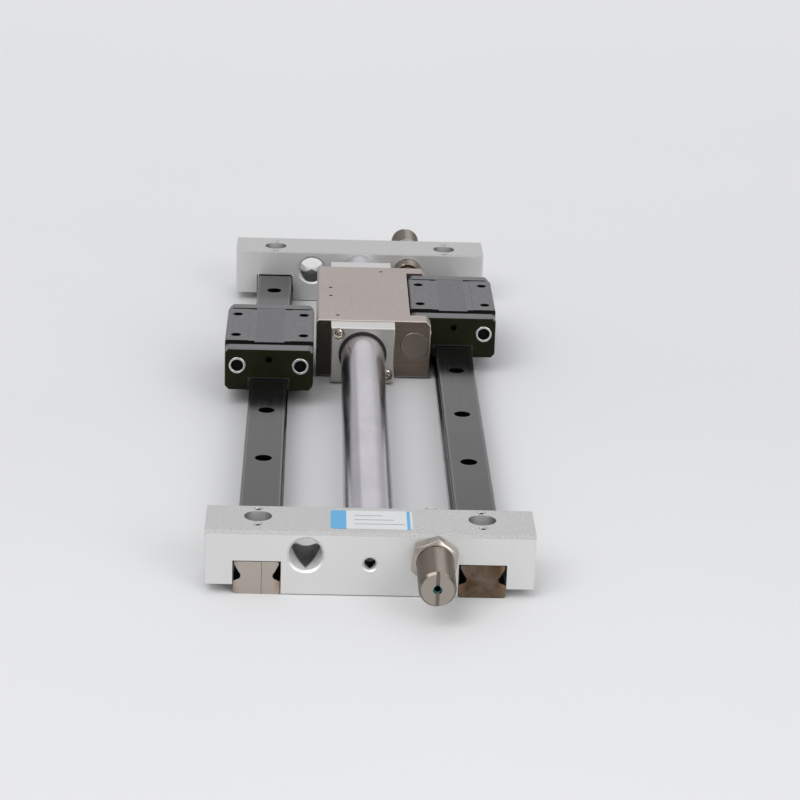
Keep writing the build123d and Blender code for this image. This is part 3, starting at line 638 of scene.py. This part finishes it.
def lockNut(end):
    # Radius over angle and height: the hexagon's, but never more than a cone from each face
    low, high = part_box(end + "_absorber_nut")
    barrelLow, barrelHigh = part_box(end + "_absorber_barrel")
    centre = ((barrelLow.x + barrelHigh.x) / 2, (barrelLow.z + barrelHigh.z) / 2)
    rise = np.linspace(0, nut["coneLength"] * mm, nut["coneRows"])
    s = np.concatenate([rise, high.y - low.y - rise[::-1]])
    edge = np.minimum(s, s[-1] - s)[:, None]
    cone = nut["coneStart"] * mm + nut["coneSlope"] * edge
    wall = np.minimum(hexRadius(nut["flats"] * mm, nut["around"])[None, :], cone)
    boreRow = np.full((1, nut["around"]), nut["bore"] * mm)
    radii = np.vstack([boreRow, wall, boreRow, boreRow])
    along = np.concatenate([[low.y], low.y + s, [high.y], [low.y]])
    points = turnedPoints(radii, along, centre, nut["around"], math.radians(nut["turn"]))
    addPiece(loopSurface(end + "LockNut", points, nut["sharp"]), [nickelMetal], "frame", "absorbers",
             end + "_absorber_nut")


plug = {"around": 48, "ring": 1.38, "socket": 1.02, "rim": 0.12, "depth": 2.4, "length": 3.0, "sharp": 40}


def oilPlug(end, side):
    # Rows of a turned plug: a deep socket painted black as shade inside a rounded teal rim
    low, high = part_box("oil_plugs")
    barrelLow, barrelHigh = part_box(end + "_absorber_barrel")
    centre = ((barrelLow.x + barrelHigh.x) / 2, (barrelLow.z + barrelHigh.z) / 2)
    face = low.y if side < 0 else high.y
    rows = [(0, plug["depth"]), (plug["socket"], plug["depth"]), (plug["socket"], plug["rim"]),
            (plug["socket"] + plug["rim"], 0), (plug["ring"] - plug["rim"], 0), (plug["ring"], plug["rim"]),
            (plug["ring"], plug["length"]), (0, plug["length"])]
    radii = [r * mm for r, _ in rows]
    along = [face - side * d * mm for _, d in rows]
    points = turnedPoints(radii, along, centre, plug["around"])
    return loopSurface(end + "OilPlug", points, plug["sharp"], [1, 1, 0, 0, 0, 0, 0])


for end, side in ends.items():
    threadedBarrel(end, side)
    lockNut(end)
plugs = [oilPlug(end, side) for end, side in ends.items()]
for piece in plugs:
    piece.data.materials.append(tealPlastic)
    piece.data.materials.append(socketShade)
addPiece(joined("oilPlugs", plugs), [], "frame", "oil_plugs", "oil_plugs")
print("cylinder: shock absorbers made")


# Threads inside the plates

tapped = {
    "Spare": {"x": -20.6, "z": 13.8, "radius": 5.49, "ridge": 0.20, "pitch": 1.0, "around": 72, "from": 0.75,
              "to": 21.25, "darkFrom": 1.2, "slant": 2.3, "soft": 2.2, "deep": (0.10, 0.10, 0.098)},
    "Port": {"x": 0.0, "z": 11.0, "radius": 2.09, "ridge": 0.08, "pitch": 0.8, "around": 40, "from": 0.6,
             "to": 7.5, "darkFrom": 1.4, "slant": 1.6, "soft": 0.5, "deep": (0.012, 0.012, 0.012)},
}
sleeve = {"rowsPerPitch": 8, "wall": 0.05, "sharp": 50}
# Painted reflection: the walls' pale tone stands for the bright floor they mirror near the mouths
sleeveLook = dict(screwLook, colour=(0.90, 0.90, 0.89), metallic=0.5, rough=(0.30, 0.40), bump=0.02)


def paintSleeve(spec, faces):
    def paint(tree, colour, rough):
        # Painted shade darkens the thread away from the mouths, soonest in the middle
        x, y, z = splitPoint(tree, pointOn(tree))
        depth = calc(tree, "MINIMUM", distanceTo(tree, y, faces[0]), distanceTo(tree, y, faces[1]))
        aside = times(tree, distanceTo(tree, x, spec["x"] * mm), spec["slant"])
        start = spec["darkFrom"] * mm
        wedgeShade = spread(tree, calc(tree, "SUBTRACT", depth, aside), start, start + spec["soft"] * mm)
        return blendColour(tree, wedgeShade, colour, spec["deep"]), rough
    return paint


def tappedSleeve(end, side, kind):
    # A thin sleeve whose inner wall has a ridge that climbs one pitch per turn:
    # radius = wall - ridge * triangle wave of y / pitch - t / turn, fading out at both mouths
    spec = tapped[kind]
    low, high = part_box(end + "_plate")
    face = low.y if side < 0 else high.y
    start, stop = sorted((face - side * spec["from"] * mm, face - side * spec["to"] * mm))
    length = stop - start
    s = np.linspace(0, length, int(length / (spec["pitch"] * mm) * sleeve["rowsPerPitch"]))
    t = np.arange(spec["around"]) * fullTurn / spec["around"]
    phase = (s[:, None] / (spec["pitch"] * mm) - t[None, :] / fullTurn) % 1
    fade = np.clip(np.minimum(s, length - s) / (spec["pitch"] * mm), 0, 1)[:, None]
    ridge = spec["ridge"] * (1 - np.abs(2 * phase - 1)) * fade
    outerRow = np.full((1, spec["around"]), spec["radius"] * mm)
    radii = np.vstack([outerRow, (spec["radius"] - sleeve["wall"] - ridge) * mm, outerRow, outerRow])
    along = np.concatenate([[start], start + s, [stop], [start]])
    points = turnedPoints(radii, along, (spec["x"] * mm, spec["z"] * mm), spec["around"])
    finish = finishOf(end + kind + "Wall", sleeveLook, paintSleeve(spec, (low.y, high.y)))
    addPiece(loopSurface(end + kind + "Thread", points, sleeve["sharp"]), [finish], "frame", "plates")


for end, side in ends.items():
    for kind in tapped:
        tappedSleeve(end, side, kind)
print("cylinder: tapped holes made")


# Screws in the guide blocks' caps

capScrew = {
    "around": 72, "headRadius": 3.25, "rimRadius": 2.3, "headLength": 2.0, "socketFlats": 3.6,
    "socketDepth": 1.5,
    "funnel": 0.45, "lip": 0.30, "rimRound": 0.22, "edgeRound": 0.3, "shankRadius": 1.2, "spacing": 24.0,
    "height": 16.6, "shankLength": 12.7, "roundSteps": 6, "sharp": 40,
}


def blockScrew(centre, face, side):
    # Rows of a turned screw: a hexagon socket painted black as shade, with a funnel, a bright rim rounded by
    # quarter circles on both sides, the head's wall and the shank
    c = capScrew
    hexagon = hexRadius(c["socketFlats"], c["around"])
    flat = np.ones(c["around"])
    turn = np.linspace(0, math.pi / 2, c["roundSteps"])
    rows = [(0 * flat, c["socketDepth"]), (hexagon, c["socketDepth"]), (hexagon, c["funnel"])]
    rows += [(c["rimRadius"] * flat, c["lip"])]
    rows += [((c["rimRadius"] + c["rimRound"] * (1 - math.cos(a))) * flat, c["rimRound"] * (1 - math.sin(a)))
             for a in turn]
    rows += [((c["headRadius"] - c["edgeRound"] * (1 - math.sin(a))) * flat,
              c["edgeRound"] * (1 - math.cos(a))) for a in turn]
    rows += [(c["headRadius"] * flat, c["headLength"]), (c["shankRadius"] * flat, c["headLength"])]
    rows += [(c["shankRadius"] * flat, c["shankLength"]), (0 * flat, c["shankLength"])]
    radii = np.array([r for r, _ in rows]) * mm
    along = np.array([face - side * d * mm for _, d in rows])
    # Painted shade: the socket rows take the black socket material
    dark = [1, 1, 1] + [0] * (len(rows) - 4)
    return loopSurface("capScrew", turnedPoints(radii, along, centre, c["around"]), c["sharp"], dark)


for hand in railEnds:
    low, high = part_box(hand + "_cap_screws")
    made = []
    for side in ends.values():
        for step in (-1, 1):
            centre = ((low.x + high.x) / 2 + step * capScrew["spacing"] / 2 * mm, capScrew["height"] * mm)
            made.append(blockScrew(centre, low.y if side < 0 else high.y, side))
    for piece in made:
        piece.data.materials.append(screwMetal)
        piece.data.materials.append(socketShade)
    addPiece(joined(hand + "CapScrews", made), [], hand + "_block", "cap_screws", hand + "_cap_screws")


# Screws in the carriage's covers

coverScrew = {
    "around": 96, "rings": 40, "headRadius": 1.95, "headLength": 2.2, "sunk": 0.5, "dome": 0.5,
    "rimWidth": 0.12,
    "shankRadius": 1.25, "length": 12.0, "arm": 0.34, "armReach": 1.35, "armWall": 0.1, "armEnd": 0.5,
    "recess": 1.3, "places": [(-9.6, 20.8), (9.6, 4.4)], "turn": 25.0, "sharp": 30,
}


def crossScrew(centre, face, side):
    # Height of the head over radius r and angle t: a shallow dome less a cross whose depth falls
    # from the middle to the ends of its arms; then the head's wall and the shank
    c = coverScrew
    t = np.arange(c["around"]) * fullTurn / c["around"] - math.radians(c["turn"])
    r = np.linspace(0, c["headRadius"] - c["rimWidth"], c["rings"])[:, None]
    u, v = np.abs(r * np.cos(t)), np.abs(r * np.sin(t))
    inArm = np.clip((c["arm"] - np.minimum(u, v)) / c["armWall"], 0, 1)
    inReach = np.clip((c["armReach"] - np.maximum(u, v)) / c["armEnd"], 0, 1)
    depth = c["sunk"] + c["dome"] * (r / c["headRadius"]) ** 2 + c["recess"] * inArm * inReach
    shankEnd = c["headLength"] + c["length"]
    tail = np.array([(c["headRadius"], c["sunk"] + c["dome"] + 0.1), (c["headRadius"], c["headLength"]),
                     (c["shankRadius"], c["headLength"]), (c["shankRadius"], shankEnd), (0, shankEnd)])
    radii = np.vstack([np.repeat(r, c["around"], 1), np.repeat(tail[:, :1], c["around"], 1)]) * mm
    down = np.vstack([depth, np.repeat(tail[:, 1:], c["around"], 1)]) * mm
    return loopSurface("crossScrew", turnedPoints(radii, face - side * down, centre, c["around"]), c["sharp"])


low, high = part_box("cover_screws")
made = [crossScrew((x * mm, z * mm), low.y if side < 0 else high.y, side)
        for side in ends.values() for x, z in coverScrew["places"]]
crossMetal = finishOf("crossScrew", dict(screwLook, colour=(0.60, 0.54, 0.48)))
for piece in made:
    piece.data.materials.append(crossMetal)
addPiece(joined("coverScrews", made), [], "carriage", "dark_screws", "cover_screws")
print("cylinder: screws made")


# Label

label = {
    "centre": (0.4, -157.75), "size": (26.4, 15.5), "corner": 1.2, "thickness": 0.08, "gap": 0.01,
    "around": 128, "paper": (0.66, 0.67, 0.68), "blue": (0.07, 0.36, 0.65), "ink": (0.30, 0.32, 0.34),
    "block": 5.0, "stripe": 1.0, "stripeInset": 0.8, "lines": (-3.6, 0.0, 3.6), "lineStart": -5.6,
    "lineEnd": 10.6, "lineStep": 3.5, "lineWidth": 0.55, "soft": 0.06, "sharp": 30,
}


def labelMaterial():
    # White paper with a plain blue block at the left, a thin stripe at the right and three blank lines
    material = bpy.data.materials.new("labelPaper")
    material.use_nodes = True
    tree = material.node_tree
    shader = tree.nodes["Principled BSDF"]
    shader.inputs["Roughness"].default_value = 0.35
    x, y, z = splitPoint(tree, pointOn(tree, move=(-label["centre"][0] * mm, -label["centre"][1] * mm, 0)))
    half, soft = label["size"][0] / 2, label["soft"] * mm
    stripeEnd = half - label["stripeInset"]
    blue = calc(tree, "MAXIMUM", band(tree, x, -half * mm, (label["block"] - half) * mm, soft),
                band(tree, x, (stripeEnd - label["stripe"]) * mm, stripeEnd * mm, soft))
    fleck = spread(tree, noise(tree, pointOn(tree), 700, 3.0), 0.35, 0.65)
    colour = blendColour(tree, fleck, shaded(label["paper"], 0.97), label["paper"])
    colour = blendColour(tree, blue, colour, label["blue"])
    for number, place in enumerate(label["lines"]):
        stop = label["lineEnd"] - label["lineStep"] * number
        rise = label["lineWidth"] / 2
        line = times(tree, band(tree, y, (place - rise) * mm, (place + rise) * mm, soft),
                     band(tree, x, label["lineStart"] * mm, stop * mm, soft))
        colour = blendColour(tree, line, colour, label["ink"])
    tree.links.new(colour, shader.inputs["Base Color"])
    return material


def labelSheet():
    # A thin rounded rectangle: a rim point is a corner's centre plus the corner radius in the
    # direction t, and each loop is q times the rim, from 0 at the middle to 1
    t = np.arange(label["around"]) * fullTurn / label["around"]
    halfX, halfY = (side / 2 - label["corner"] for side in label["size"])
    rimX = np.sign(np.cos(t)) * halfX + label["corner"] * np.cos(t)
    rimY = np.sign(np.sin(t)) * halfY + label["corner"] * np.sin(t)
    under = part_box("front_plate")[1].z / mm + label["gap"]
    loops = [np.stack([label["centre"][0] + q * rimX, label["centre"][1] + q * rimY,
                       np.full(len(t), under + h * label["thickness"])], -1)
             for q, h in ((0, 1), (1, 1), (1, 0), (0, 0))]
    return loopSurface("blankLabel", np.array(loops) * mm, label["sharp"])


addPiece(labelSheet(), [labelMaterial()], "frame", "block_caps")
print("cylinder: label made")


# Floor, light and camera

studio = {
    "floor": (0.765, 0.765, 0.775), "farFloorLight": (0.97, 0.97, 0.98), "nearY": 0.0, "farY": 1.2,
    "floorHalf": 4.0, "floorDrop": 0.02, "skyTint": (0.98, 0.99, 1.0),
    "skyFront": 0.55, "skyBack": 0.55, "skyTop": 0.75,
    "boxes": {
        "keyBox": {"place": (-0.7, -1.0, 1.4), "size": 1.2, "power": 11.0},
        "fillBox": {"place": (1.0, -1.4, 0.8), "size": 1.1, "power": 10.0},
        "backBox": {"place": (0.2, 1.6, 1.1), "size": 1.4, "power": 2.0},
    },
}


def paperFloor():
    half, level = studio["floorHalf"], -studio["floorDrop"] * mm
    corners = [(-half, -half, level), (half, -half, level), (half, half, level), (-half, half, level)]
    mesh = bpy.data.meshes.new("paperFloor")
    mesh.from_pydata(corners, [], [(0, 1, 2, 3)])
    floor = bpy.data.objects.new("paperFloor", mesh)
    bpy.context.scene.collection.objects.link(floor)
    material = bpy.data.materials.new("palePaper")
    material.use_nodes = True
    tree = material.node_tree
    shader = tree.nodes["Principled BSDF"]
    shader.inputs["Roughness"].default_value = 0.75
    shader.inputs["Specular IOR Level"].default_value = 0.2
    # Painted light: the floor is painted paler towards the back
    far = spread(tree, splitPoint(tree, pointOn(tree))[1], studio["nearY"], studio["farY"])
    cloud = spread(tree, noise(tree, pointOn(tree), 3.0, 2.0), 0.35, 0.65)
    colour = blendColour(tree, cloud, shaded(studio["floor"], 0.98), studio["floor"])
    colour = blendColour(tree, far, colour, studio["farFloorLight"])
    tree.links.new(colour, shader.inputs["Base Color"])
    mesh.materials.append(material)


def skyLight():
    # The horizon's level runs from skyFront in front to skyBack behind, here the same, and rises to skyTop
    # overhead, as where a pale backdrop stands
    world = bpy.data.worlds.new("studioWorld")
    world.use_nodes = True
    tree = world.node_tree
    direction = splitPoint(tree, addNode(tree, "ShaderNodeTexCoord").outputs["Generated"])
    horizon = spread(tree, direction[1], -0.6, 0.7, studio["skyFront"], studio["skyBack"])
    upward = spread(tree, direction[2], 0.4, 0.9)
    level = calc(tree, "ADD", times(tree, horizon, spread(tree, upward, 0, 1, 1, 0)),
                 times(tree, upward, studio["skyTop"]))
    background = tree.nodes["Background"]
    background.inputs["Color"].default_value = (*studio["skyTint"], 1.0)
    tree.links.new(level, background.inputs["Strength"])
    bpy.context.scene.world = world


def softBox(name, spec):
    lamp = bpy.data.lights.new(name, "AREA")
    lamp.shape, lamp.size, lamp.energy = "SQUARE", spec["size"], spec["power"]
    holder = bpy.data.objects.new(name, lamp)
    holder.location = spec["place"]
    holder.rotation_euler = (-Vector(spec["place"])).to_track_quat("-Z", "Y").to_euler()
    bpy.context.scene.collection.objects.link(holder)


eye = {
    "place": (-0.02065, -0.96569, 0.34825), "forward": (0.03373, 0.94245, -0.33264), "roll": 1.88,
    "lens": 121.46, "sensor": 36.0, "near": 0.01, "far": 50.0,
}


def photoCamera():
    # The camera looks along forward; right is level before the roll turns it
    forward = Vector(eye["forward"]).normalized()
    level = forward.cross(Vector((0, 0, 1))).normalized()
    upright = level.cross(forward)
    roll = math.radians(eye["roll"])
    right = level * math.cos(roll) + upright * math.sin(roll)
    up = upright * math.cos(roll) - level * math.sin(roll)
    data = bpy.data.cameras.new("photoCamera")
    data.lens, data.sensor_width = eye["lens"], eye["sensor"]
    data.clip_start, data.clip_end = eye["near"], eye["far"]
    camera = bpy.data.objects.new("photoCamera", data)
    turn = Matrix((right, up, -forward)).transposed().to_4x4()
    camera.matrix_world = Matrix.Translation(eye["place"]) @ turn
    bpy.context.scene.collection.objects.link(camera)
    bpy.context.scene.camera = camera


paperFloor()
skyLight()
for name, spec in studio["boxes"].items():
    softBox(name, spec)
photoCamera()
bpy.context.scene.view_settings.view_transform = "Standard"
print("cylinder: stage set")
